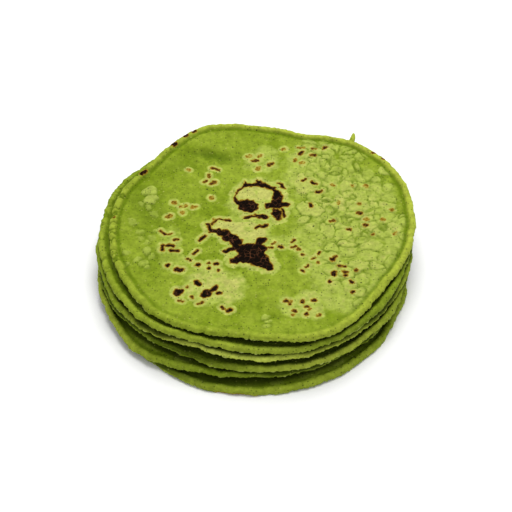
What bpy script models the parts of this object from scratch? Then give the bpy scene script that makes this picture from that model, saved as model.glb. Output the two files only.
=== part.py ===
"""A stack of six thick corn tortillas lying flat on each other.

Each tortilla is a thin round plate with a beaded rim. Its half cross-section is spun once round,
then its outline is pushed in and out and its rim is lifted and let down where it has curled.
The tortillas are laid one by one, each let down until it almost touches the one below.
"""

import math
from dataclasses import dataclass

import bmesh
import bpy
from mathutils import Vector
from mathutils.bvhtree import BVHTree

MM = 0.001
STACK_NAME = "corn_tortilla_stack"

# Cross-section of every tortilla, in millimetres.
PLATE_THICKNESS = 2.5
BEAD_UP = 0.55  # the rim bead stands this much above the plate
BEAD_DOWN = 0.35  # and this much below it
BEAD_WIDTH = 4.2
GROOVE_DEPTH = 0.2
GROOVE_WIDTH = 3.0

SEGMENTS = 60
REST_GAP = 0.35  # left between a tortilla and the one it rests on
DROP_HEIGHT = 30.0  # each tortilla is let down from this far above its place
BEND_STARTS, BEND_FULL = 0.25, 0.85  # shares of the radius over which the outline's bulges set in


@dataclass
class Tortilla:
    """One tortilla of the stack. Lengths in millimetres, azimuths in degrees from +X towards +Y."""

    name: str
    radius: float
    centre: tuple
    bulges: list  # (azimuth, half width, how far the outline stands out)
    lifts: list  # (azimuth, half width, how far the rim is lifted, how far in the lift reaches)
    waves: list  # (waves round the rim, height, phase)
    flat_base: bool = False


STACK = [
    Tortilla(
        name="tortilla_1",
        radius=71.8,
        centre=(-2.5, -7.8),
        bulges=[(248, 10, 0.7), (288, 24, 1.0), (335, 8, -0.8), (352, 6, 0.9), (60, 25, -1.5)],
        lifts=[],
        waves=[],
        flat_base=True,
    ),
    Tortilla(
        name="tortilla_2",
        radius=73.5,
        centre=(-8.0, -2.1),
        bulges=[(178, 9, -1.4), (195, 15, -0.8), (227, 9, 1.5), (272, 14, -0.4), (324, 9, 2.0),
                (80, 30, -2.0)],
        lifts=[(226, 16, -1.6, 16), (200, 9, 0.5, 14), (290, 20, 0.3, 22)],
        waves=[(3, 0.20, 40), (5, 0.12, 200)],
    ),
    Tortilla(
        name="tortilla_3",
        radius=75.6,
        centre=(-3.0, 1.4),
        bulges=[(204, 12, 1.1), (237, 13, -1.2), (280, 20, 0.8), (342, 9, -1.4), (70, 25, -2.5)],
        lifts=[(238, 13, 0.9, 24), (262, 8, -0.4, 14), (318, 10, 0.7, 18)],
        waves=[(4, 0.22, 110), (7, 0.10, 15)],
    ),
    Tortilla(
        name="tortilla_4",
        radius=76.2,
        centre=(-3.7, 4.0),
        bulges=[(187, 6, 0.8), (214, 10, 1.1), (249, 12, -1.4), (287, 14, 1.5), (329, 10, -1.2),
                (70, 24, -2.5)],
        lifts=[(249, 11, 1.5, 26), (222, 7, -0.5, 14), (312, 9, 0.5, 18), (335, 7, -0.5, 16)],
        waves=[(3, 0.25, 300), (6, 0.12, 80)],
    ),
    Tortilla(
        name="tortilla_5",
        radius=75.6,
        centre=(-3.2, 4.2),
        bulges=[(72, 22, -3.5), (138, 10, -1.9), (154, 10, 1.1), (229, 9, 1.2), (250, 10, -1.0),
                (291, 13, 1.7), (338, 10, -1.6)],
        lifts=[(251, 11, 0.8, 26), (320, 10, -0.4, 18)],
        waves=[(4, 0.22, 250), (5, 0.12, 20)],
    ),
    Tortilla(
        name="tortilla_6",
        radius=73.4,
        centre=(-0.4, 5.0),
        bulges=[(34, 21, 5.0), (77, 12, -2.8), (110, 16, 3.6), (142, 8, -1.9), (229, 14, 1.6),
                (259, 12, -0.9), (291, 14, 2.4), (326, 17, -4.0)],
        lifts=[(77, 14, -0.6, 24), (116, 15, 1.3, 20), (150, 10, -0.9, 26), (258, 12, 0.5, 22)],
        waves=[(5, 0.15, 90)],
    ),
]


def bell(azimuth, centre, half_width):
    """1 at the centre azimuth, a half at half_width degrees from it, and fading to nothing."""
    away = (azimuth - centre + 180) % 360 - 180
    return 0.5 ** ((away / half_width) ** 2)


def smooth_step(low, high, value):
    share = min(max((value - low) / (high - low), 0.0), 1.0)
    return share * share * (3 - 2 * share)


def cross_section(radius, flat_base):
    """Half cross-section from the middle of the top over the rim to the middle of the underside."""
    half = PLATE_THICKNESS / 2
    crest = half + BEAD_UP
    bead_low = -half if flat_base else -half - BEAD_DOWN
    inner = radius - BEAD_WIDTH
    return [
        (0.0, half),
        (0.45 * radius, half),
        (0.75 * radius, half),
        (inner - GROOVE_WIDTH, half),
        (inner - 0.2 * GROOVE_WIDTH, half - GROOVE_DEPTH),
        (inner + 0.25 * BEAD_WIDTH, half + 0.55 * BEAD_UP),
        (radius - 0.45 * BEAD_WIDTH, crest),
        (radius - 0.14 * BEAD_WIDTH, 0.62 * crest),
        (radius, 0.05 * crest),
        (radius - 0.16 * BEAD_WIDTH, 0.72 * bead_low),
        (radius - 0.5 * BEAD_WIDTH, bead_low),
        (inner - 0.3 * GROOVE_WIDTH, -half),
        (0.6 * radius, -half),
        (0.0, -half),
    ]


def spun(section):
    """The cross-section spun once round +Z, as a closed mesh."""
    mesh = bmesh.new()
    verts = [mesh.verts.new((x, 0.0, z)) for x, z in section]
    edges = [mesh.edges.new(pair) for pair in zip(verts, verts[1:])]
    bmesh.ops.spin(
        mesh,
        geom=verts + edges,
        cent=(0, 0, 0),
        axis=(0, 0, 1),
        angle=math.tau,
        steps=SEGMENTS,
        use_merge=True,
    )
    bmesh.ops.remove_doubles(mesh, verts=mesh.verts, dist=0.001)
    bmesh.ops.triangulate(mesh, faces=mesh.faces)
    bmesh.ops.recalc_face_normals(mesh, faces=mesh.faces)
    return mesh


def rim_height(item, azimuth, reach_out):
    """How far the sheet is lifted at an azimuth, reach_out millimetres inside its rim."""
    height = 0.0
    for centre, half_width, lift, reach in item.lifts:
        share = 1 - smooth_step(0, reach, reach_out)
        height += lift * share * bell(azimuth, centre, half_width)
    outward = max(1 - reach_out / item.radius, 0.0) ** 2
    for count, wave, phase in item.waves:
        height += wave * outward * math.sin(math.radians(count * azimuth + phase))
    return height


def shaped(item):
    """The tortilla's own mesh, centred on its middle."""
    mesh = spun(cross_section(item.radius, item.flat_base))
    for vert in mesh.verts:
        distance = vert.co.xy.length
        azimuth = math.degrees(math.atan2(vert.co.y, vert.co.x)) % 360
        bulge = sum(out * bell(azimuth, at, half) for at, half, out in item.bulges)
        share = smooth_step(BEND_STARTS, BEND_FULL, distance / item.radius)
        if distance > 0:
            vert.co.xy *= 1 + bulge * share / distance
        vert.co.z += rim_height(item, azimuth, item.radius - distance)
    return mesh


def clearance(upper, lower):
    """The least upright gap between two meshes, the upper one wholly above the lower one."""
    gaps = []
    for mesh, other, way in ((upper, lower, -1), (lower, upper, 1)):
        tree = BVHTree.FromBMesh(other)
        for vert in mesh.verts:
            distance = tree.ray_cast(vert.co, Vector((0, 0, way)))[3]
            if distance is not None:
                gaps.append(distance)
    return min(gaps)


def stacked():
    """The six meshes in their places, the lowest one's underside at height 0."""
    meshes = []
    for item in STACK:
        mesh = shaped(item)
        bmesh.ops.translate(mesh, verts=mesh.verts, vec=(*item.centre, PLATE_THICKNESS / 2))
        if meshes:
            level = max(vert.co.z for vert in meshes[-1].verts)
            bmesh.ops.translate(mesh, verts=mesh.verts, vec=(0, 0, level + DROP_HEIGHT))
            drop = clearance(mesh, meshes[-1]) - REST_GAP
            bmesh.ops.translate(mesh, verts=mesh.verts, vec=(0, 0, -drop))
        meshes.append(mesh)
    return meshes


def centre_of_box(meshes):
    """The middle of the stack's bounding box in plan."""
    points = [vert.co.xy for mesh in meshes for vert in mesh.verts]
    xs = [point.x for point in points]
    ys = [point.y for point in points]
    return Vector(((min(xs) + max(xs)) / 2, (min(ys) + max(ys)) / 2, 0.0))


def corn_dough(name, colour):
    """Soft green corn dough."""
    material = bpy.data.materials.new(name)
    material.use_nodes = True
    shader = material.node_tree.nodes["Principled BSDF"]
    shader.inputs["Base Color"].default_value = (*colour, 1.0)
    shader.inputs["Roughness"].default_value = 0.65
    shader.inputs["Metallic"].default_value = 0.0
    return material


def place(item, mesh, origin, collection):
    """Makes the tortilla's object, with its origin at the middle of its underside."""
    middle = Vector((*item.centre, min(vert.co.z for vert in mesh.verts)))
    bmesh.ops.translate(mesh, verts=mesh.verts, vec=-middle)
    bmesh.ops.scale(mesh, verts=mesh.verts, vec=(MM, MM, MM))
    data = bpy.data.meshes.new(item.name)
    mesh.to_mesh(data)
    mesh.free()
    data.shade_smooth()
    tortilla = bpy.data.objects.new(item.name, data)
    tortilla.location = (middle - origin) * MM
    shade = 0.26 + 0.01 * STACK.index(item)
    data.materials.append(corn_dough(f"{item.name}_dough", (shade, 0.42, 0.04)))
    collection.objects.link(tortilla)


def main():
    for old in list(bpy.data.objects):
        bpy.data.objects.remove(old, do_unlink=True)
    collection = bpy.data.collections.new(STACK_NAME)
    bpy.context.scene.collection.children.link(collection)
    meshes = stacked()
    origin = centre_of_box(meshes)
    for item, mesh in zip(STACK, meshes):
        place(item, mesh, origin, collection)


main()
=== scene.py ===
"""The looks of a stack of six thick green corn tortillas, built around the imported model.

Each tortilla is modelled again in fine detail over its plain solid: a spun disc with a beaded rim,
pushed out and lifted by the same named values as the solid, then given its crinkled rim, blisters,
creases and scorched spots. Lengths in this script are in millimetres unless a name says otherwise.
"""

import itertools
import math
from dataclasses import dataclass

import bmesh
import bpy
import numpy as np
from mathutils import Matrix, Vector


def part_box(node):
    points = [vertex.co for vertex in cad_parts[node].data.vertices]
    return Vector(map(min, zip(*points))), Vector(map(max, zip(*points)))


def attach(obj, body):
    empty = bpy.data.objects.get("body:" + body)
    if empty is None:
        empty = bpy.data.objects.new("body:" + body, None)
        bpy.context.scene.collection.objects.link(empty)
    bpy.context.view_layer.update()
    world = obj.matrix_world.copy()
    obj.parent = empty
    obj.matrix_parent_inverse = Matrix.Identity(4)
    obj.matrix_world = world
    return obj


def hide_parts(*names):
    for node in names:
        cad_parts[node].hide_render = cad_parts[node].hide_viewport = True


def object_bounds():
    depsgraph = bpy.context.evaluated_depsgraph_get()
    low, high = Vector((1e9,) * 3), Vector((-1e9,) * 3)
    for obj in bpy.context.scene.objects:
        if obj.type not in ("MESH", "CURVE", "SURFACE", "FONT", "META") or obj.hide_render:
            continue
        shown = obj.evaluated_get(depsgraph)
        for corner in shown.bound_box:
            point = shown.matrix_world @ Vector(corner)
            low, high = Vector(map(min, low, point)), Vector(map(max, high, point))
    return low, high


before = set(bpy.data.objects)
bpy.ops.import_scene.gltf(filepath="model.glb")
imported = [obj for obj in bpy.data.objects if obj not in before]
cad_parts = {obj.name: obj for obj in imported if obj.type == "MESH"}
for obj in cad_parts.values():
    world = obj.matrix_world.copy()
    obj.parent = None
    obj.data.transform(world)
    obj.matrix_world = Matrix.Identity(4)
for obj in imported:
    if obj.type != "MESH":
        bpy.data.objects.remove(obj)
cad_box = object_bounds()

MM = 0.001

# ---------------------------------------------------------------- the tortillas' measures

PLATE_THICKNESS = 2.5
BEAD_UP = 0.55
BEAD_WIDTH = 4.2
GROOVE_DEPTH = 0.2
GROOVE_WIDTH = 3.0
BEND_STARTS, BEND_FULL = 0.25, 0.85


@dataclass
class Tortilla:
    """One tortilla. Azimuths in degrees from +X towards +Y."""

    name: str
    radius: float
    centre: tuple
    bulges: list  # (azimuth, half width, how far the outline stands out)
    lifts: list  # (azimuth, half width, how far the rim is lifted, how far in the lift reaches)
    waves: list  # (waves round the rim, height, phase)
    trims: list  # (azimuth, half width, how far the rim itself stands out, how far up)
    knobs: list  # (azimuth, half width, how pale the bead has dried, and past 1 how much a painted highlight brightens it)
    dried_and_lit: list  # (azimuth, half width, how pale the bead has dried)
    thinned: list  # (azimuth, half width, how much thinner the bead is)
    rim_shade: list  # (azimuth, half width, how dark the painted shade makes the upper part of the rim)
    seed: int
    flat_base: bool = False


STACK = [
    Tortilla(
        name="tortilla_1",
        radius=71.8,
        centre=(-2.5, -7.8),
        bulges=[(248, 10, 0.7), (288, 24, 1.0), (335, 8, -0.8), (352, 6, 0.9), (60, 25, -1.5)],
        lifts=[],
        waves=[],
        trims=[(290, 22, -0.9, 0.0), (255, 14, 0.4, 0.0), (312, 8, -0.5, 0.0), (222, 8, 0.8, 0.0)],
        knobs=[],
        dried_and_lit=[(265, 60, 0.4)],
        thinned=[(270, 60, 0.2)],
        rim_shade=[],
        seed=11,
        flat_base=True,
    ),
    Tortilla(
        name="tortilla_2",
        radius=73.5,
        centre=(-8.0, -2.1),
        bulges=[(178, 9, -1.4), (195, 15, -0.8), (227, 9, 1.5), (272, 14, -0.4), (324, 9, 2.0),
                (80, 30, -2.0)],
        lifts=[(226, 16, -1.6, 16), (200, 9, 0.5, 14), (290, 20, 0.3, 22)],
        waves=[(3, 0.20, 40), (5, 0.12, 200)],
        trims=[(262, 20, -0.8, 0.7)],
        knobs=[],
        dried_and_lit=[(210, 24, 0.7)],
        thinned=[(260, 30, 0.5)],
        rim_shade=[(292, 16, 0.45)],
        seed=22,
    ),
    Tortilla(
        name="tortilla_3",
        radius=75.6,
        centre=(-3.0, 1.4),
        bulges=[(204, 12, 1.1), (237, 13, -1.2), (280, 20, 0.8), (342, 9, -1.4), (70, 25, -2.5)],
        lifts=[(238, 13, 0.9, 24), (262, 8, -0.4, 14), (318, 10, 0.7, 18)],
        waves=[(4, 0.22, 110), (7, 0.10, 15)],
        trims=[(262, 20, -0.6, 0.5)],
        knobs=[(190, 16, 0.3)],
        dried_and_lit=[(296, 26, 0.8)],
        thinned=[(249, 13, 1.4), (290, 20, 0.5)],
        rim_shade=[(243, 16, 0.7)],
        seed=33,
    ),
    Tortilla(
        name="tortilla_4",
        radius=76.2,
        centre=(-3.7, 4.0),
        bulges=[(187, 6, 0.8), (214, 10, 1.1), (249, 12, -1.4), (287, 14, 1.5), (329, 10, -1.2),
                (70, 24, -2.5)],
        lifts=[(249, 11, 1.5, 26), (222, 7, -0.5, 14), (312, 9, 0.5, 18), (335, 7, -0.5, 16)],
        waves=[(3, 0.25, 300), (6, 0.12, 80)],
        trims=[(252, 15, -0.3, 1.0), (288, 14, -0.9, 0.6)],
        knobs=[],
        # the front lip's 1.7 is a painted highlight where the lip stands out into the light
        dried_and_lit=[(264, 28, 1.7), (320, 20, 0.3)],
        thinned=[(250, 14, 0.3)],
        rim_shade=[],
        seed=44,
    ),
    Tortilla(
        name="tortilla_5",
        radius=75.6,
        centre=(-3.2, 4.2),
        bulges=[(72, 22, -3.5), (138, 10, -1.9), (154, 10, 1.1), (229, 9, 1.2), (250, 10, -1.0),
                (291, 13, 1.7), (338, 10, -1.6)],
        lifts=[(251, 11, 0.8, 26), (320, 10, -0.4, 18)],
        waves=[(4, 0.22, 250), (5, 0.12, 20)],
        trims=[(265, 20, -0.6, 0.6)],
        knobs=[(175, 26, 0.8)],
        dried_and_lit=[(200, 60, 0.3), (265, 20, 0.3)],
        thinned=[(270, 30, 0.4)],
        rim_shade=[(310, 16, 0.2)],
        seed=55,
    ),
    Tortilla(
        name="tortilla_6",
        radius=73.4,
        centre=(-0.4, 5.0),
        bulges=[(34, 21, 5.0), (77, 12, -2.8), (110, 16, 3.6), (142, 8, -1.9), (229, 14, 1.6),
                (259, 12, -0.9), (291, 14, 2.4), (326, 17, -4.0)],
        lifts=[(77, 14, -0.6, 24), (116, 15, 1.3, 20), (150, 10, -0.9, 26), (258, 12, 0.5, 22)],
        waves=[(5, 0.15, 90)],
        trims=[(268, 18, -0.9, 1.3), (112, 5, 1.0, 0.0), (79, 5, 1.2, 0.2), (70, 5, -1.2, 0.0),
               (53, 9, 1.3, 0.2)],
        knobs=[(172, 28, 1.8)],
        dried_and_lit=[(10, 60, 0.9), (95, 40, 0.6), (190, 40, 0.4), (290, 24, 0.3)],
        thinned=[(270, 38, 0.6)],
        rim_shade=[],
        seed=66,
    ),
]

# ---------------------------------------------------------------- marks on the top tortilla

# The ring is the greater part of an oval, thickest at its right and thinnest at its left.
RING_MIDDLE = (-2.5, 20.5)
RING_REACH = (10.5, 8.5)
RING_FROM, RING_TO = -35, 215  # degrees round the oval
RING_LEAST_WIDTH = 0.45
RING_SWELLS = [(-5, 28, 2.1), (75, 35, 0.8), (120, 12, 0.4), (220, 15, 0.7)]  # (turn, spread, more)

# Strokes that join the ring, and those of the hook: chains of (x, y, half width), measured like the
# ring's places from the middle of the top tortilla.
RING_STROKES = [
    [(-8, 14, 3.4), (-5, 13, 3.5)],
    [(-11, 17, 1.0), (-8, 17, 1.4), (-5, 17, 1.2)],
    [(3, 14, 1.6), (8, 15, 2.6), (12, 15, 1.5)],
    [(7, 9, 2.6), (8, 5, 1.4)],
    [(10, 11, 0.9), (11, 9, 0.8), (11, 6, 0.7)],
    [(-8, 6, 0.8), (-3, 7, 0.8), (2, 6, 1.2)],
    [(8, 30, 0.6), (10, 29, 1.0), (11, 27, 1.0)],
    [(-8, 29, 1.0), (-8, 31, 0.7)],
    [(-1, 30, 1.4), (-2, 32, 0.9)],
]
HOOK_STROKES = [
    [(-24, 1, 0.4), (-22, 5, 0.4), (-16, 4, 0.6)],
    [(-26, 1, 0.6), (-24, -3, 1.4), (-18, -5, 2.2), (-15, -8, 2.8), (-11, -10, 2.1)],
    [(-17, -3, 1.4)],
    [(-14, -10, 1.6), (-12, -15, 1.8)],
    [(-17, -17, 1.2), (-13, -15, 1.1)],
    [(-8, -16, 3.8), (-1, -16, 3.4)],
    [(-3, -14, 1.8), (0, -10, 2.1)],
    [(-13, -23, 1.9), (-7, -21, 3.0), (0, -22, 3.4), (3, -27, 2.5)],
    [(-8, -19, 3.0), (-2, -25, 2.6)],
]

# How deeply a fleck is scorched.
CHARRED, BROWNED, TANNED = 1.5, 0.2, -0.2


@dataclass
class Flecks:
    """Small scorched flecks strewn over a rectangle."""

    middle: tuple
    half_size: tuple
    count: int
    lengths: tuple
    widths: tuple  # half widths
    depth_limit: float


FLECKS = [
    # left
    Flecks((-44, -11), (4, 7), 6, (1.5, 4), (0.6, 0.9), CHARRED),
    Flecks((-30, -13), (2, 5), 2, (3, 4), (0.7, 0.9), CHARRED),
    Flecks((-37, -26), (8, 4), 4, (1, 3), (0.8, 1.2), CHARRED),
    Flecks((-39, 10), (7, 6), 5, (1, 3), (0.6, 1.0), TANNED),
    # front left
    Flecks((-22, -27), (4, 4), 4, (0, 1), (0.6, 0.9), CHARRED),
    Flecks((-29, -41), (9, 4), 4, (2, 4), (1.0, 1.7), CHARRED),
    Flecks((-28, -45), (10, 5), 5, (0, 3), (0.4, 0.8), BROWNED),
    Flecks((-15, -54), (3, 2), 2, (1, 3), (0.8, 1.3), CHARRED),
    # back left
    Flecks((-25, 35), (6, 6), 4, (2, 3.5), (0.6, 0.9), BROWNED),
    Flecks((-30, 30), (7, 12), 3, (0, 2), (0.6, 0.9), TANNED),
    # middle
    Flecks((0, -1), (3, 1), 2, (1, 4), (0.6, 0.8), CHARRED),
    Flecks((11, -13), (7, 3), 6, (1, 3), (0.4, 0.7), BROWNED),
    # back
    Flecks((0, 45), (8, 6), 4, (1, 3), (0.6, 0.9), TANNED),
    Flecks((0, 44), (6, 4), 2, (2, 3.5), (0.6, 0.9), BROWNED),
    Flecks((26, 54), (7, 4), 5, (0, 2.5), (0.6, 0.9), BROWNED),
    Flecks((17, 50), (7, 8), 4, (0, 2), (0.6, 0.8), TANNED),
    # right
    Flecks((25, 24), (4, 10), 4, (2, 3), (0.6, 1.0), CHARRED),
    Flecks((41, 3), (9, 6), 4, (1, 3), (0.7, 1.1), BROWNED),
    Flecks((42, 22), (10, 10), 5, (0, 2), (0.5, 0.9), TANNED),
    Flecks((57, 3), (7, 9), 5, (0, 1.5), (0.5, 0.9), TANNED),
    # front right
    Flecks((28, -22), (9, 5), 5, (0, 2.5), (0.4, 0.8), CHARRED),
    Flecks((37, -36), (7, 7), 6, (0, 2), (0.5, 1.0), CHARRED),
    Flecks((30, -25), (12, 6), 5, (0, 3), (0.4, 0.7), BROWNED),
    Flecks((18, -53), (8, 6), 8, (0, 1.5), (0.5, 0.8), BROWNED),
    Flecks((20, -52), (7, 7), 4, (0, 1), (0.5, 0.8), TANNED),
]

# Scorched bits on the bead: (azimuth, spread of azimuths, count, longest, half width).
RIM_FLECKS = [
    (123, 7, 4, 1.8, 0.7),
    (148, 2, 2, 2.0, 0.8),
    (174, 2, 2, 0.4, 0.4),
    (48, 16, 3, 0.6, 0.4),
]
RIM_FLECK_LIMIT = 1.0

UNSCORCHED, SCORCHED_THROUGH = -9.0, 9.0  # depths for bare skin and for the two large marks
TRIES_FOR_FLECK, TRIES_FOR_BLISTER = 6, 2  # the more tries, the more evenly they are strewn

# The skin of the lower tortillas.
PLAIN_FLECKS = 40
PLAIN_FLECK_REACH = 66  # from the middle
PLAIN_BLISTERS = (90, (0, 0), (70, 70), (5, 13), (0.15, 0.6))  # as in BLISTERED, below

# Where the skin has dried paler: (x, y, half length, half width, turn in degrees, strength).
PALE_PATCHES = [
    (-4, 21, 9, 5, 0, 1.0),
    (-1, 16, 15, 16, 0, 0.45),
    (-10, -3, 14, 6, -12, 0.95),
    (-22, -39, 14, 11, -25, 0.75),
    (-40, -24, 8, 7, -20, 0.3),
    (42, -6, 47, 25, 90, 0.5),
    (24, 40, 20, 12, 80, 0.5),
    (19, -52, 10, 9, 0, 0.6),
    (34, -42, 9, 12, 0, 0.5),
    (1, 47, 9, 9, 0, 0.45),
    (-44, -12, 11, 5, 85, 0.3),
    (9, -11, 9, 5, 0, 0.45),
]

# Where the skin has blistered: (count, middle, half size, sizes, how pale and high).
BLISTERED = [
    (2, (23, 21), (2, 10), (12, 16), (0.75, 0.85)),
    (30, (47, 12), (17, 34), (7, 12), (0.5, 0.85)),
    (10, (32, 48), (12, 10), (6, 11), (0.4, 0.7)),
    (14, (45, -33), (16, 18), (6, 10), (0.5, 0.8)),
    (60, (44, 26), (24, 36), (4, 9), (0.4, 0.8)),
    (2, (-56, 19), (2, 7), (6, 8), (0.8, 0.9)),
    (16, (-58, -5), (7, 26), (3, 6), (0.4, 0.65)),
    (3, (0, -62), (3, 3), (3, 5), (0.4, 0.8)),
]

BROWN_FOOT_BAND = (262, 11)  # azimuth and half width of the brown band along the lowest one's lower edge

# Shallow hollows and humps: (x, y, half length, half width, turn in degrees, height, how much painted
# shade darkens them).
SWELLS = [
    (-25, 51, 15, 5.5, -6, -1.6, 1.0),
    (-40, 44, 10, 8, 30, -0.4, 0.35),
    (-28, 60, 12, 4.5, -5, 0.9, 0.0),
    (51, -9, 16, 2.0, 0, -0.35, 0.45),
    (-56, 14, 11, 26, 15, -0.5, 0.45),
    (-50, -20, 9, 12, 10, -0.3, 0.30),
]


# ---------------------------------------------------------------- form


def bell(azimuth, centre, half_width):
    """1 at the centre azimuth, a half at half_width degrees from it, and fading to nothing."""
    away = (azimuth - centre + 180) % 360 - 180
    return 0.5 ** ((away / half_width) ** 2)


def smooth_step(low, high, value):
    """0 at low, 1 at high and smooth between; low may be the larger."""
    share = np.clip((value - low) / (high - low), 0.0, 1.0)
    return share * share * (3 - 2 * share)


LATTICE = 64


def lattice_noise(points, size, seed):
    """Smooth random values from -1 to 1 at an (n, 3) array of points, changing over about size."""
    table = np.random.default_rng(seed).uniform(-1, 1, (LATTICE,) * 3)
    place = points / size
    cell = np.floor(place).astype(int)
    share = place - cell
    share = share * share * (3 - 2 * share)
    total = np.zeros(len(points))
    for corner in itertools.product((0, 1), repeat=3):
        at = (cell + corner) % LATTICE
        weight = np.prod(np.where(corner, share, 1 - share), axis=1)
        total += weight * table[at[:, 0], at[:, 1], at[:, 2]]
    return total


CREST_IN = 0.45 * BEAD_WIDTH
EDGE_AT = -0.35  # the rim stands out furthest low down, at its ragged lower edge
FOOT_IN, FOOT_AT = 0.5, -0.8


def rim_section(item):
    """The bead's cross-section, from the plate to the foot, as (distance in from the rim, height)."""
    half = PLATE_THICKNESS / 2
    crest = half + BEAD_UP
    edge_at, foot_at = (-0.55, -1.05) if item.flat_base else (EDGE_AT, FOOT_AT)
    points = []
    for inward in np.linspace(BEAD_WIDTH + GROOVE_WIDTH, CREST_IN, 16)[1:]:
        rise = 0.5 + 0.5 * math.cos(math.pi * min((inward - CREST_IN) / (BEAD_WIDTH - CREST_IN), 1))
        points.append((inward, half + BEAD_UP * rise))
    for angle in np.radians(np.linspace(90, 0, 13)[1:]):
        inward = CREST_IN * (1 - math.cos(angle) ** 0.9)
        points.append((inward, edge_at + (crest - edge_at) * math.sin(angle) ** 0.9))
    for angle in np.radians(np.linspace(0, 90, 5)[1:]):
        height = edge_at + (foot_at - edge_at) * math.sin(angle)
        points.append((FOOT_IN * (1 - math.cos(angle)), height))
    points.append((1.3, foot_at))
    points.append((BEAD_WIDTH, -half if item.flat_base else foot_at - 0.1))
    points.append((BEAD_WIDTH + GROOVE_WIDTH, -half))
    return points


def ring_distances(edge, coarse_step, fine_from, fine_step):
    """Distances of the plate's rings from its middle, closer together from fine_from on."""
    inner = np.linspace(0, fine_from, round(fine_from / coarse_step) + 1)
    outer = np.linspace(fine_from, edge, round((edge - fine_from) / fine_step) + 1)
    return [*inner, *outer[1:]]


COLUMNS = 150  # round the middle of the plate, and doubled three times on the way out


def rolled_disc(item, rings, doubled_at):
    """The tortilla before it is pushed out of shape.

    Each row of a grid follows one ring of the disc, from the middle of its top over the rim to the
    middle of its underside, and its columns go once round.
    """
    half = PLATE_THICKNESS / 2
    section = [(distance, half) for distance in rings]
    section += [(item.radius - inward, height) for inward, height in rim_section(item)]
    last_fine = len(section)
    section += [(share * item.radius, -half) for share in (0.8, 0.5, 0.0)]
    rows = len(section) - 1
    mesh = bmesh.new()
    bmesh.ops.create_grid(mesh, x_segments=COLUMNS, y_segments=rows, size=0.5)
    for vert in mesh.verts:
        vert.co.y = round((vert.co.y + 0.5) * rows)
    for distance in doubled_at:
        first = sum(ring < distance for ring in rings)
        edges = [
            edge
            for edge in mesh.edges
            if edge.verts[0].co.y == edge.verts[1].co.y and first <= edge.verts[0].co.y < last_fine
        ]
        bmesh.ops.subdivide_edges(mesh, edges=edges, cuts=1)
    for vert in mesh.verts:
        distance, height = section[round(vert.co.y)]
        turn = math.tau * (vert.co.x + 0.5)
        vert.co = (distance * math.cos(turn), distance * math.sin(turn), height)
    bmesh.ops.remove_doubles(mesh, verts=mesh.verts, dist=0.0005)
    bmesh.ops.recalc_face_normals(mesh, faces=mesh.faces)
    data = bpy.data.meshes.new(item.name + "_fine")
    mesh.to_mesh(data)
    mesh.free()
    return data


def bulge(item, azimuth):
    return sum(out * bell(azimuth, at, half) for at, half, out in item.bulges)


def rim_height(item, azimuth, reach_out):
    """How far the sheet is lifted at an azimuth, reach_out millimetres inside its rim."""
    height = 0.0 * azimuth
    for centre, half_width, lift, reach in item.lifts:
        height += lift * (1 - smooth_step(0, reach, reach_out)) * bell(azimuth, centre, half_width)
    outward = np.maximum(1 - reach_out / item.radius, 0.0) ** 2
    for count, wave, phase in item.waves:
        height += wave * outward * np.sin(np.radians(count * azimuth + phase))
    return height


@dataclass
class Places:
    """Where the points of a disc are, before and after it is pushed out of shape."""

    at: np.ndarray
    normal: np.ndarray
    distance: np.ndarray
    azimuth: np.ndarray
    inward: np.ndarray
    height: np.ndarray
    top: np.ndarray
    bead: np.ndarray
    lip: np.ndarray
    bead_top: np.ndarray
    groove: np.ndarray


def painted_gap_shade(item, places):
    """Painted shade in the gaps: 1 where this tortilla lies against the next one up or down, fading
    out past the rim, and on the upper part of the rim spans listed as shaded.
    """
    under = smooth_step(-0.55, -0.75, places.height) * smooth_step(0.1, 0.6, places.inward)
    if item.flat_base:
        under = 0 * under
    if item is STACK[-1]:
        return under
    above = STACK[STACK.index(item) + 1]
    x = places.at[:, 0] + item.centre[0] - above.centre[0]
    y = places.at[:, 1] + item.centre[1] - above.centre[1]
    rim = above.radius + bulge(above, np.degrees(np.arctan2(y, x)) % 360)
    fades_at = -3.5 if item.flat_base else -0.7
    lying = places.top * smooth_step(fades_at, 1.0, rim - np.hypot(x, y))
    rim_shade = sum(share * bell(places.azimuth, at, half) for at, half, share in item.rim_shade)
    # painted shade under the lips, on the top under the next tortilla's rim, and on the listed rim
    # spans
    return np.maximum(np.maximum(under, lying), rim_shade * smooth_step(-0.7, 0.6, places.height))


def read_places(item, data):
    count = len(data.vertices)
    at = np.empty(count * 3)
    data.vertices.foreach_get("co", at)
    at = at.reshape(-1, 3)
    normal = np.empty(count * 3)
    data.vertex_normals.foreach_get("vector", normal)
    normal = normal.reshape(-1, 3)
    distance = np.hypot(at[:, 0], at[:, 1])
    azimuth = np.degrees(np.arctan2(at[:, 1], at[:, 0])) % 360
    inward = item.radius - distance
    height = at[:, 2].copy()
    top = smooth_step(0.0, 0.8, height)
    bead = smooth_step(BEAD_WIDTH + 0.6, BEAD_WIDTH - 1.4, inward)
    lip = smooth_step(0.3, -0.4, height) * smooth_step(2.0, 1.0, inward)
    bead_top = top * smooth_step(BEAD_WIDTH, CREST_IN, inward)
    groove = top * 0.5 ** (((inward - BEAD_WIDTH) / 0.8) ** 2)
    return Places(at, normal, distance, azimuth, inward, height, top, bead, lip, bead_top, groove)


def push_out(item, places):
    """Moves the points as the solid's are moved: the outline's bulges and the rim's lifts."""
    share = smooth_step(BEND_STARTS, BEND_FULL, places.distance / item.radius)
    grown = 1 + bulge(item, places.azimuth) * share / np.maximum(places.distance, 1e-6)
    places.at[:, 0] *= grown
    places.at[:, 1] *= grown
    places.at[:, 2] += rim_height(item, places.azimuth, places.inward)


# ---------------------------------------------------------------- skin


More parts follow.
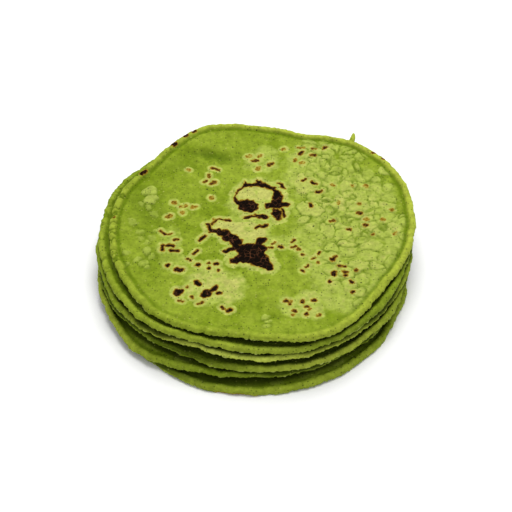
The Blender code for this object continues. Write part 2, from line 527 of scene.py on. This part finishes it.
def streak_depth(x, y, chain):
    """How deep inside a streak each point is; negative outside."""
    depth = np.full(len(x), -1e3)
    links = list(zip(chain, chain[1:])) or [(chain[0], chain[0])]
    for (x0, y0, width0), (x1, y1, width1) in links:
        along_x, along_y = x1 - x0, y1 - y0
        length2 = max(along_x**2 + along_y**2, 1e-9)
        share = np.clip(((x - x0) * along_x + (y - y0) * along_y) / length2, 0, 1)
        gap = np.hypot(x - x0 - share * along_x, y - y0 - share * along_y)
        depth = np.maximum(depth, width0 + share * (width1 - width0) - gap)
    return depth


def fleck_chain(fleck, rng):
    """The three uneven blobs, somewhat out of line, of a fleck (x, y, length, turn, half width)."""
    x, y, length, turn, width = fleck
    along = 0.5 * length * np.array([math.cos(math.radians(turn)), math.sin(math.radians(turn))])
    chain = []
    for share in (-0.8, rng.uniform(-0.4, 0.4), 0.8):
        at_x, at_y = along * share + rng.uniform(-0.6, 0.6, 2) * width
        chain.append((x + at_x, y + at_y, 0.05 + width * rng.uniform(0.45, 1.25)))
    return chain


def ring_chain():
    """The ring's oval as a streak that goes round from RING_FROM to RING_TO."""
    chain = []
    for turn in range(RING_FROM, RING_TO + 1, 10):
        swell = sum(more * bell(turn, at, half) for at, half, more in RING_SWELLS)
        width = RING_LEAST_WIDTH + swell
        chain.append((RING_MIDDLE[0] + RING_REACH[0] * math.cos(math.radians(turn)),
                      RING_MIDDLE[1] + RING_REACH[1] * math.sin(math.radians(turn)), width))
    return chain


def strewn(rng, count, middle, half_size, tries_each):
    """Seeded places in a rectangle, each the one of some tries that is farthest from the others."""
    places = []
    for _ in range(count):
        tries = np.array(middle) + rng.uniform(-1, 1, (tries_each, 2)) * half_size
        gaps = [min((math.dist(one, other) for other in places), default=0.0) for one in tries]
        places.append(tries[int(np.argmax(gaps))])
    return places


def fleck_chains(flecks, rng):
    """The streaks of one group of flecks, lying more often across than up and down."""
    chains = []
    for x, y in strewn(rng, flecks.count, flecks.middle, flecks.half_size, TRIES_FOR_FLECK):
        fleck = (x, y, rng.uniform(*flecks.lengths), rng.normal(0, 35), rng.uniform(*flecks.widths))
        chains.append(fleck_chain(fleck, rng))
    return chains


def rim_fleck_chain(azimuth, inward, length, width):
    """A fleck that lies along the top tortilla's bead."""
    item = STACK[-1]
    chain = []
    for along in (-0.5 * length, 0.5 * length):
        turn = azimuth + math.degrees(along / item.radius)
        distance = item.radius + bulge(item, turn) - inward
        chain.append((distance * math.cos(math.radians(turn)),
                      distance * math.sin(math.radians(turn)), width))
    return chain


def oval_reach(x, y, oval):
    """0 at the middle of an oval (x, y, half length, half width, turn) and 1 on its edge."""
    at_x, at_y, half_length, half_width, turn = oval
    cos, sin = math.cos(math.radians(turn)), math.sin(math.radians(turn))
    along = ((x - at_x) * cos + (y - at_y) * sin) / half_length
    across = ((y - at_y) * cos - (x - at_x) * sin) / half_width
    return np.hypot(along, across)


@dataclass
class Skin:
    """What is on a tortilla's skin at each point."""

    scorch: np.ndarray  # depth inside a scorched spot, negative outside
    pale: np.ndarray
    crease: np.ndarray
    relief: np.ndarray  # how far the skin stands out


def scorched(x, y, chains, depth_limit, scorch, halo):
    """Adds streaks to the scorch depth, and to the paler ring that each has round it."""
    for chain in chains:
        depth = streak_depth(x, y, chain)
        reach = 1.7 + 0.6 * max(width for _, _, width in chain)
        np.maximum(halo, smooth_step(-reach, -0.6 * reach, depth), out=halo)
        np.maximum(scorch, np.minimum(depth, depth_limit), out=scorch)


def blistered(places, blisters, seed):
    """Domed ovals of skin that press against each other: (dome, crease, pale)."""
    x, y = places.at[:, 0], places.at[:, 1]
    flat = places.at * (1, 1, 0)
    warp_x = 0.9 * lattice_noise(flat, 3.4, seed) + 0.4 * lattice_noise(flat, 1.2, seed + 1)
    warp_y = 0.9 * lattice_noise(flat, 3.4, seed + 2) + 0.4 * lattice_noise(flat, 1.2, seed + 3)
    nearest, second = np.full(len(x), 9.0), np.full(len(x), 9.0)
    tone, size = np.zeros(len(x)), np.ones(len(x))
    for at_x, at_y, length, width, turn, strength in blisters:
        reach = oval_reach(x + warp_x, y + warp_y, (at_x, at_y, 0.5 * length, 0.5 * width, turn))
        closer = reach < nearest
        tone[closer], size[closer] = strength, 0.25 * (length + width)
        second = np.where(closer, nearest, np.minimum(second, reach))
        nearest = np.minimum(nearest, reach)
    apart = (second - nearest) * size
    past_edge = (nearest - 1.05) * size
    broken = smooth_step(-0.5, 0.3, lattice_noise(flat, 3.0, seed + 4))
    wall = smooth_step(0.9, 0.1, apart) * smooth_step(2.0, 0.8, past_edge)
    outline = smooth_step(0.55, 0.05, abs(past_edge)) * broken
    # the crease also darkens the colour: partly greener dough, partly painted shade
    crease = np.maximum(wall * (0.5 + 0.5 * broken), 0.8 * outline) * (0.4 + 0.6 * tone)
    within = smooth_step(0.3, -0.9, past_edge) * smooth_step(0.0, 1.2, apart)
    pale = tone * smooth_step(0.4, -0.4, past_edge) * smooth_step(0.1, 0.7, apart)
    return tone * within, crease, pale


def scattered_blisters(rng, count, middle, half_size, sizes, tones):
    """Seeded blisters within a rectangle."""
    return [
        (x, y, rng.uniform(*sizes), rng.uniform(*sizes), rng.uniform(0, 180), rng.uniform(*tones))
        for x, y in strewn(rng, count, middle, half_size, TRIES_FOR_BLISTER)
    ]


def top_skin(places):
    """The top tortilla's skin: two large scorched marks, flecks and a blistered right half."""
    x, y = places.at[:, 0], places.at[:, 1]
    flat = places.at * (1, 1, 0)
    rng = np.random.default_rng(6)
    scorch, halo = np.full(len(x), UNSCORCHED), np.zeros(len(x))
    jagged_x = x + 0.8 * lattice_noise(flat, 1.7, 61)
    jagged_y = y + 0.8 * lattice_noise(flat, 1.7, 62)
    marks = [ring_chain()] + RING_STROKES + HOOK_STROKES
    scorched(jagged_x, jagged_y, marks, SCORCHED_THROUGH, scorch, halo)
    for flecks in FLECKS:
        scorched(x, y, fleck_chains(flecks, rng), flecks.depth_limit, scorch, halo)
    for azimuth, spread, count, longest, width in RIM_FLECKS:
        chains = [
            rim_fleck_chain(at, rng.uniform(1.2, 2.2), longest * rng.uniform(0.5, 1), width)
            for at in azimuth + spread * rng.uniform(-1, 1, count)
        ]
        scorched(x, y, chains, RIM_FLECK_LIMIT, scorch, halo)
    blisters = []
    for zone in BLISTERED:
        blisters += scattered_blisters(rng, *zone)
    dome, crease, pale = blistered(places, blisters, 7)
    patch = np.zeros(len(x))
    stray_x = x + 2.5 * lattice_noise(flat, 5, 63) + lattice_noise(flat, 2, 64)
    stray_y = y + 2.5 * lattice_noise(flat, 5, 65) + lattice_noise(flat, 2, 66)
    for *oval, strength in PALE_PATCHES:
        share = smooth_step(1.3, 0.8, oval_reach(stray_x, stray_y, oval))
        patch = np.maximum(patch, strength * share)
    patch *= 1 + 0.35 * lattice_noise(flat, 3, 67) + 0.3 * lattice_noise(flat, 1.2, 68)
    pale = np.maximum(0.75 * pale, patch) + 0.3 * pale * patch
    halo *= 0.75 + 0.3 * lattice_noise(flat, 1.1, 69)
    pale = np.maximum(pale * (1 - 0.5 * crease), halo)
    relief = (0.6 + 0.5 * smooth_step(-40, -50, x)) * dome - 0.28 * crease
    relief -= 0.18 * smooth_step(-0.3, 0.6, scorch)
    for *oval, height, dark in SWELLS:
        share = smooth_step(1.4, 0.1, oval_reach(stray_x, stray_y, oval))
        relief += height * share
        # the hollows get painted shade through the crease colour
        crease = np.maximum(crease, dark * share * (1 - np.minimum(pale, 1)))
    on_plate = places.top * (1 - places.bead)
    scorch = np.where(places.height > 0, scorch, UNSCORCHED)
    return Skin(scorch, pale * on_plate, crease * on_plate, relief * on_plate)


def plain_skin(places, seed):
    """A skin with seeded flecks and faint blisters, for the tortillas that the stack half hides."""
    rng = np.random.default_rng(seed)
    x, y = places.at[:, 0], places.at[:, 1]
    scorch, halo = np.full(len(x), UNSCORCHED), np.zeros(len(x))
    chains = []
    for _ in range(PLAIN_FLECKS):
        azimuth, reach = rng.uniform(0, math.tau), PLAIN_FLECK_REACH * math.sqrt(rng.uniform())
        fleck = (reach * math.cos(azimuth), reach * math.sin(azimuth), rng.uniform(0, 3),
                 rng.uniform(0, 180), rng.uniform(0.5, 1.0))
        chains.append(fleck_chain(fleck, rng))
    scorched(x, y, chains, 1.0, scorch, halo)
    if seed == STACK[0].seed:
        # a brown band along the lowest tortilla's lower edge at the front
        brown_band = bell(places.azimuth, *BROWN_FOOT_BAND) * smooth_step(0.5, -0.1, places.height)
        scorch = np.maximum(scorch, 1.1 * brown_band - 1.35)
    blisters = scattered_blisters(rng, *PLAIN_BLISTERS)
    dome, crease, pale = blistered(places, blisters, seed)
    pale = np.maximum(0.6 * pale * (1 - 0.5 * crease), 0.5 * halo)
    relief = 0.42 * dome - 0.10 * crease - 0.15 * smooth_step(-0.3, 0.6, scorch)
    on_plate = (1 - places.bead) * np.where(places.height > 0, places.top, 1.0)
    return Skin(scorch, pale * on_plate, 0.6 * crease * on_plate, relief * on_plate)


KNOB_SIZE = 3.6
FRONT, FRONT_FADE = (270, 38), 0.8  # the front's azimuth and half width
RIB_HEIGHT, RIB_SIZE = 0.26, 1.0
LUMP_HEIGHT, LUMP_SIZE = 0.22, 1.9
TOOTH_LENGTH, TOOTH_SIZE = 0.30, 0.85  # of the ragged lower lip
SCALLOP_LENGTH, SCALLOP_SIZE = 0.20, 2.3


def ring_place(item, places):
    """Each point's place along the rim, with a little of its height."""
    turn = np.radians(places.azimuth)
    across, back = item.radius * np.cos(turn), item.radius * np.sin(turn)
    return np.stack([across, back, 0.35 * places.height], 1)


def knob_row(item, places, ring):
    """How deep the bead's knobs are, and how far each point is from a crease between two knobs."""
    depth = sum(by * bell(places.azimuth, at, half) for at, half, by in item.knobs)
    row = lattice_noise(ring, KNOB_SIZE, item.seed + 1)
    return depth, abs(row + 0.4 * lattice_noise(places.at, 2.0, item.seed + 10))


def groove_left(places):
    """How much is left of the groove inside the bead, which fades at the front."""
    return 1 - FRONT_FADE * bell(places.azimuth, *FRONT)


def crinkle(item, places):
    """How far the rough dough stands out along its normal, and its lip outwards and down."""
    seed = item.seed
    ring = ring_place(item, places)
    depth, row = knob_row(item, places, ring)
    knobs = (depth + 0.15) * (np.minimum(row, 0.5) ** 0.5 - 0.55)
    rib_height = RIB_HEIGHT * (0.7 + 0.6 * lattice_noise(ring, 14, seed))
    ribs = rib_height * lattice_noise(ring, RIB_SIZE, seed + 2)
    ribs += LUMP_HEIGHT * lattice_noise(places.at, LUMP_SIZE, seed + 9)
    grain = 0.05 * lattice_noise(places.at, 1.3, seed + 3)
    grain = grain + 0.04 * lattice_noise(places.at, 0.6, seed + 4)
    teeth = TOOTH_LENGTH * lattice_noise(ring, TOOTH_SIZE, seed + 5)
    teeth = teeth + SCALLOP_LENGTH * lattice_noise(ring, SCALLOP_SIZE, seed + 6) - 0.1
    thinner = sum(by * bell(places.azimuth, at, half) for at, half, by in item.thinned)
    plump = 0.25 * places.bead_top - places.bead_top * thinner
    groove = -3 * GROOVE_DEPTH * places.groove * groove_left(places)
    return grain + places.bead * (knobs + ribs) + groove + plump, places.lip * teeth


def wander(item, places):
    """How the rim strays outwards and upwards over some millimetres of its length."""
    ring = ring_place(item, places) * (1, 1, 0)
    out = 0.45 * lattice_noise(ring, 5.5, item.seed + 7) * smooth_step(12, 2, places.inward)
    up = 0.30 * lattice_noise(ring, 7.5, item.seed + 8) * smooth_step(10, 2, places.inward)
    for azimuth, half_width, trim_out, trim_up in item.trims:
        share = bell(places.azimuth, azimuth, half_width) * smooth_step(14, 2, places.inward)
        out += trim_out * share
        up += trim_up * share
    return out, up


def store(data, name, values):
    data.attributes.new(name, "FLOAT", "POINT").data.foreach_set("value", values.astype(np.float32))


def to_place(item, low, high):
    """How far to move a tortilla whose box runs from low to high, so that it lies on its solid."""
    box_low, box_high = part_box(item.name)
    middle = [(a + b) / 2 / MM for a, b in zip(box_low, box_high)]
    return np.array([middle[0] - (low[0] + high[0]) / 2, middle[1] - (low[1] + high[1]) / 2,
                     box_low[2] / MM - low[2]])


def fine_tortilla(item, rings, doubled_at):
    """The finished piece of one tortilla, in its place over its solid, and how far it was moved."""
    data = rolled_disc(item, rings, doubled_at)
    places = read_places(item, data)
    push_out(item, places)
    low, high = places.at.min(axis=0), places.at.max(axis=0)
    skin = top_skin(places) if item is STACK[-1] else plain_skin(places, item.seed)
    along_normal, lip = crinkle(item, places)
    out, up = wander(item, places)
    radial = np.stack([np.cos(np.radians(places.azimuth)), np.sin(np.radians(places.azimuth))], 1)
    moved = places.at + places.normal * (along_normal + skin.relief)[:, None]
    moved[:, :2] += radial * (out + lip)[:, None]
    moved[:, 2] += up - 0.5 * lip
    if item.flat_base:
        moved[:, 2] = np.maximum(moved[:, 2], low[2])
    shift = to_place(item, low, high)
    data.vertices.foreach_set("co", ((moved + shift) * MM).ravel())
    store(data, "scorch", skin.scorch)
    store(data, "pale", skin.pale)
    store(data, "crease", skin.crease)
    # the bead's dried paleness, with a painted highlight where the value passes 1
    dried_and_lit = sum(pale * bell(places.azimuth, at, half) for at, half, pale in item.dried_and_lit)
    band = places.bead if item is STACK[-1] else smooth_step(3.2, 1.4, places.inward)
    store(data, "bead", dried_and_lit * band * smooth_step(-1.0, 0.2, places.height))
    # painted shade in the gaps between the tortillas and under their lips
    store(data, "gap_shade", painted_gap_shade(item, places))
    # painted shade in the groove inside the bead, partly also greener, less dried dough, and painted
    # shade in the creases between the knobs
    depth, row = knob_row(item, places, ring_place(item, places))
    knob_valley_shade = np.minimum(depth, 1) * smooth_step(0.20, 0.04, row) * places.bead
    groove = places.groove * groove_left(places)
    store(data, "groove", np.maximum(groove, 0.9 * knob_valley_shade))
    store(data, "lip", places.lip * smooth_step(-0.1, 0.3, lip))
    data.update()
    data.shade_smooth()
    piece = bpy.data.objects.new(item.name + "_dough", data)
    bpy.context.scene.collection.objects.link(piece)
    return piece, shift


BURR_AZIMUTH = 53.0
BURR_LENGTH = 7.0
BURR_RADIUS = 1.7
BURR_ROOT = 1.6  # how far inside the rim it starts
BURR_BEND = 1.9  # how far its tip leans aside
BURR_RISE = 2.2


def add_burr(shift):
    """The small hooked shred of dough that stands out from the top tortilla's rim."""
    item = STACK[-1]
    turn = math.radians(BURR_AZIMUTH)
    outward = Vector((math.cos(turn), math.sin(turn), 0))
    aside = Vector((-math.sin(turn), math.cos(turn), 0))
    root = outward * (item.radius + bulge(item, BURR_AZIMUTH) - BURR_ROOT) + Vector(shift)
    mesh = bmesh.new()
    bmesh.ops.create_uvsphere(mesh, u_segments=24, v_segments=18, radius=1.0)
    for vert in mesh.verts:
        share = (vert.co.z + 1) / 2
        radius = BURR_RADIUS * (1 - 0.25 * share) / max(1 - vert.co.z**2, 0.05) ** 0.2
        line = outward * (BURR_LENGTH * share) + aside * (BURR_BEND * share**2)
        line.z += BURR_RISE * share
        across = aside * (radius * vert.co.x) + Vector((0, 0, radius * vert.co.y))
        vert.co = (root + line + across) * MM
    bmesh.ops.recalc_face_normals(mesh, faces=mesh.faces)
    data = bpy.data.meshes.new("rim_burr")
    mesh.to_mesh(data)
    mesh.free()
    store(data, "scorch", np.full(len(data.vertices), UNSCORCHED))
    store(data, "bead", np.full(len(data.vertices), 0.8))
    data.shade_smooth()
    burr = bpy.data.objects.new("rim_burr", data)
    bpy.context.scene.collection.objects.link(burr)
    return burr


# ---------------------------------------------------------------- materials


class Nodes:
    """A short way to add shader nodes and link them."""

    def __init__(self, name):
        self.material = bpy.data.materials.new(name)
        self.material.use_nodes = True
        self.tree = self.material.node_tree
        self.shader = self.tree.nodes["Principled BSDF"]

    def add(self, kind, **settings):
        made = self.tree.nodes.new("ShaderNode" + kind)
        for key, value in settings.items():
            setattr(made, key, value)
        return made

    def link(self, source, target):
        self.tree.links.new(source, target)

    def put(self, value, target):
        """Links a socket, or sets a number or a colour."""
        if isinstance(value, bpy.types.NodeSocket):
            self.link(value, target)
        elif isinstance(value, tuple) and len(value) == 3 and target.type == "RGBA":
            target.default_value = (*value, 1.0)
        else:
            target.default_value = value

    def attribute(self, name):
        return self.add("Attribute", attribute_name=name).outputs["Fac"]

    def math(self, operation, first, second=0.0, clamp=False):
        made = self.add("Math", operation=operation, use_clamp=clamp)
        self.put(first, made.inputs[0])
        self.put(second, made.inputs[1])
        return made.outputs[0]

    def noise(self, place, scale, detail=2.0, roughness=0.5):
        made = self.add("TexNoise")
        self.link(place, made.inputs["Vector"])
        made.inputs["Scale"].default_value = scale
        made.inputs["Detail"].default_value = detail
        made.inputs["Roughness"].default_value = roughness
        return made.outputs["Fac"]

    def spread(self, value, low, high, to_low=0.0, to_high=1.0):
        made = self.add("MapRange", clamp=True)
        self.put(value, made.inputs["Value"])
        made.inputs["From Min"].default_value = low
        made.inputs["From Max"].default_value = high
        made.inputs["To Min"].default_value = to_low
        made.inputs["To Max"].default_value = to_high
        return made.outputs["Result"]

    def mix(self, share, first, second, blend="MIX"):
        made = self.add("Mix", data_type="RGBA", blend_type=blend)
        self.put(share, made.inputs["Factor"])
        self.put(first, made.inputs["A"])
        self.put(second, made.inputs["B"])
        return made.outputs["Result"]

    def ramp(self, value, stops):
        made = self.add("ValToRGB")
        self.link(value, made.inputs["Fac"])
        elements = made.color_ramp.elements
        while len(elements) < len(stops):
            elements.new(0.5)
        for element, (position, colour) in zip(elements, stops):
            element.position = position
            element.color = (*colour, 1.0)
        return made.outputs["Color"]


DEEP_GREEN = (0.165, 0.236, 0.010)
LEAF_GREEN = (0.235, 0.310, 0.024)
BEAD_GREEN = (0.355, 0.415, 0.045)
# painted highlight for a lip that catches the light
LIT_BEAD_GREEN = (0.480, 0.560, 0.080)
LIP_GREEN = (0.430, 0.490, 0.140)
# painted shade in the groove and between the knobs, with some greener, less dried dough in the groove
GROOVE_SHADE_GREEN = (0.100, 0.160, 0.003)
# near-black green of the painted shade in the gaps between the tortillas
GAP_SHADE_GREEN = (0.030, 0.048, 0.003)
PALE_GREEN = (0.325, 0.395, 0.064)
CREAM_YELLOW = (0.420, 0.430, 0.105)
# greener dough and painted shade in the creases between blisters, and painted shade in the hollows
CREASE_SHADE_GREEN = (0.080, 0.135, 0.003)
TAN = (0.40, 0.34, 0.050)
TOAST = (0.27, 0.170, 0.012)
RUST = (0.10, 0.043, 0.004)
CHAR_BROWN = (0.026, 0.0085, 0.003)
CHAR_BLACK = (0.004, 0.0018, 0.0006)
CRACK_BROWN = (0.15, 0.055, 0.022)
HUSK = (0.02, 0.025, 0.006)

SCORCH_SPAN = 4.0  # the scorch ramp runs over this many millimetres of depth, half on each side


def green_dough(name):
    """Matt green corn dough with mottling, specks, pale dried skin and scorched spots, with painted
    shade in the gaps, grooves and hollows and a painted highlight on bright lips.
    """
    n = Nodes(name)
    place = n.add("TexCoord").outputs["Object"]
    cloud = n.noise(place, 38, 3)
    blotch = n.noise(place, 160, 3, 0.55)
    mealy = n.noise(place, 800, 3, 0.65)
    edge = n.noise(place, 700, 3, 0.6)
    mottle = n.math("ADD", cloud, n.spread(blotch, 0.3, 0.7, -0.2, 0.2))
    colour = n.mix(n.spread(mottle, 0.3, 0.7), DEEP_GREEN, LEAF_GREEN)
    colour = n.mix(n.spread(n.attribute("bead"), 0.0, 1.0), colour, BEAD_GREEN)
    # painted highlight where the bead value passes 1
    colour = n.mix(n.spread(n.attribute("bead"), 1.0, 1.6), colour, LIT_BEAD_GREEN)
    frayed = n.math("ADD", n.attribute("pale"), n.spread(edge, 0.3, 0.7, -0.10, 0.10))
    colour = n.mix(n.spread(frayed, 0.08, 0.60), colour, PALE_GREEN)
    colour = n.mix(n.spread(frayed, 0.60, 1.0), colour, CREAM_YELLOW)
    # greener dough and painted shade in the creases, painted shade in the hollows
    colour = n.mix(n.math("MULTIPLY", n.attribute("crease"), 0.85), colour, CREASE_SHADE_GREEN)
    # painted shade in the groove and between the knobs, partly greener dough in the groove
    colour = n.mix(n.math("MULTIPLY", n.attribute("groove"), 0.9), colour, GROOVE_SHADE_GREEN)
    colour = n.mix(n.math("MULTIPLY", n.attribute("lip"), 0.85), colour, LIP_GREEN)
    shade = n.spread(n.math("ADD", mealy, n.noise(place, 330, 2)), 0.6, 1.4, 0.70, 1.30)
    colour = n.mix(1.0, colour, shade, "MULTIPLY")
    # painted shade in the gaps between the tortillas and under their lips
    colour = n.mix(n.math("MULTIPLY", n.attribute("gap_shade"), 0.85), colour, GAP_SHADE_GREEN)
    colour = speckled(n, place, colour)
    depth = n.attribute("scorch")
    for scale, sway in ((900, 0.40), (400, 0.28)):
        strays = n.spread(n.noise(place, scale, 3, 0.65), 0.25, 0.75, -sway, sway)
        depth = n.math("ADD", depth, strays)
    share = n.spread(depth, -SCORCH_SPAN / 2, SCORCH_SPAN / 2)
    burnt = n.ramp(share, [(0.37, TAN), (0.44, TOAST), (0.52, RUST), (0.59, CHAR_BROWN)])
    colour = n.mix(n.spread(share, 0.34, 0.43), colour, burnt)
    mottled = n.spread(n.noise(place, 420, 3, 0.7), 0.32, 0.46)
    ash = n.math("MULTIPLY", n.spread(share, 0.575, 0.65), mottled)
    colour = n.mix(ash, colour, CHAR_BLACK)
    split = n.math("MULTIPLY", cracks(n, place), n.spread(share, 0.60, 0.70))
    colour = n.mix(split, colour, CRACK_BROWN)
    n.link(colour, n.shader.inputs["Base Color"])
    n.shader.inputs["Roughness"].default_value = 0.62
    n.shader.inputs["Specular IOR Level"].default_value = 0.02
    bump = n.add("Bump")
    bump.inputs["Strength"].default_value = 0.55
    bump.inputs["Distance"].default_value = 0.25 * MM
    n.link(n.math("ADD", mealy, n.noise(place, 300, 2)), bump.inputs["Height"])
    n.link(bump.outputs["Normal"], n.shader.inputs["Normal"])
    return n.material


def cracks(n, place):
    """1 along thin broken lines where the char has split, elsewhere 0."""
    bent = n.add("MixRGB", blend_type="ADD")
    bent.inputs["Fac"].default_value = 0.0015
    n.link(place, bent.inputs["Color1"])
    n.link(n.noise(place, 500, 2), bent.inputs["Color2"])
    cells = n.add("TexVoronoi", feature="DISTANCE_TO_EDGE")
    n.link(bent.outputs["Color"], cells.inputs["Vector"])
    cells.inputs["Scale"].default_value = 380
    line = n.spread(cells.outputs["Distance"], 0.01, 0.05, 0.6, 0.0)
    return n.math("MULTIPLY", line, n.spread(n.noise(place, 260, 2), 0.44, 0.58))


def speckled(n, place, colour):
    """Dark specks of husk in two sizes, and fewer pale ones."""
    for scale, reach, share, strength in ((330, 0.17, 0.10, 0.90), (900, 0.36, 0.18, 0.7)):
        cells = n.add("TexVoronoi", feature="F1")
        n.link(place, cells.inputs["Vector"])
        cells.inputs["Scale"].default_value = scale
        lot = n.add("SeparateColor")
        n.link(cells.outputs["Color"], lot.inputs["Color"])
        near = n.spread(cells.outputs["Distance"], 0.6 * reach, reach, 1.0, 0.0)
        dark = n.math("MULTIPLY", near, n.math("LESS_THAN", lot.outputs["Red"], share))
        picked = n.math("GREATER_THAN", lot.outputs["Red"], 1 - 0.5 * share)
        light = n.math("MULTIPLY", near, picked)
        colour = n.mix(n.math("MULTIPLY", dark, strength), colour, HUSK)
        colour = n.mix(n.math("MULTIPLY", light, 0.6 * strength), colour, CREAM_YELLOW)
    return colour


def white_surface():
    n = Nodes("white_table")
    n.shader.inputs["Base Color"].default_value = (0.9, 0.9, 0.9, 1.0)
    n.shader.inputs["Roughness"].default_value = 0.8
    n.shader.inputs["Specular IOR Level"].default_value = 0.1
    return n.material


# ---------------------------------------------------------------- studio

CAMERA_ELEVATION = math.radians(45.7)
CAMERA_DISTANCE = 0.6886  # metres, from the middle of the stack's box
CAMERA_RISE = -0.0127  # the stack stands a little above the middle of the view


def add_camera():
    low, high = cad_box
    middle = (low + high) / 2
    back = Vector((0.0, -math.cos(CAMERA_ELEVATION), math.sin(CAMERA_ELEVATION)))
    camera = bpy.data.objects.new("camera", bpy.data.cameras.new("camera"))
    camera.data.lens = 100
    camera.data.sensor_width = 36
    camera.data.shift_y = CAMERA_RISE
    camera.data.clip_start, camera.data.clip_end = 0.01, 20
    camera.location = middle + back * CAMERA_DISTANCE
    camera.rotation_euler = (-back).to_track_quat("-Z", "Y").to_euler()
    bpy.context.scene.collection.objects.link(camera)
    bpy.context.scene.camera = camera


def add_floor(material):
    mesh = bmesh.new()
    bmesh.ops.create_grid(mesh, x_segments=1, y_segments=1, size=3.0)
    data = bpy.data.meshes.new("table_top")
    mesh.to_mesh(data)
    mesh.free()
    data.materials.append(material)
    floor = bpy.data.objects.new("table_top", data)
    bpy.context.scene.collection.objects.link(floor)


def add_light(name, place, size, watts):
    light = bpy.data.objects.new(name, bpy.data.lights.new(name, "AREA"))
    light.data.shape = "DISK"
    light.data.size = size
    light.data.energy = watts
    light.location = place
    light.rotation_euler = (-Vector(place)).to_track_quat("-Z", "Y").to_euler()
    bpy.context.scene.collection.objects.link(light)


def add_studio():
    world = bpy.data.worlds.new("studio")
    world.use_nodes = True
    world.node_tree.nodes["Background"].inputs["Color"].default_value = (1.0, 1.0, 1.0, 1.0)
    world.node_tree.nodes["Background"].inputs["Strength"].default_value = 0.58
    bpy.context.scene.world = world
    bpy.context.scene.view_settings.view_transform = "Standard"
    add_light("key", (0.08, 0.36, 1.08), 0.75, 11)
    add_floor(white_surface())


# ---------------------------------------------------------------- everything

add_camera()
add_studio()
dough = green_dough("green_corn_dough")
for item in STACK:
    on_top = item is STACK[-1]
    plate_edge = item.radius - BEAD_WIDTH - GROOVE_WIDTH
    if on_top:
        rings, doubled_at = ring_distances(plate_edge, 0.7, 20, 0.52), (16, 33, plate_edge)
    else:
        rings, doubled_at = ring_distances(plate_edge, 3.0, 50, 0.7), (40, 52, plate_edge - 2)
    piece, shift = fine_tortilla(item, rings, doubled_at)
    piece.data.materials.append(dough)
    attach(piece, "root")
    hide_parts(item.name)
burr = add_burr(shift)
burr.data.materials.append(dough)
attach(burr, "root")
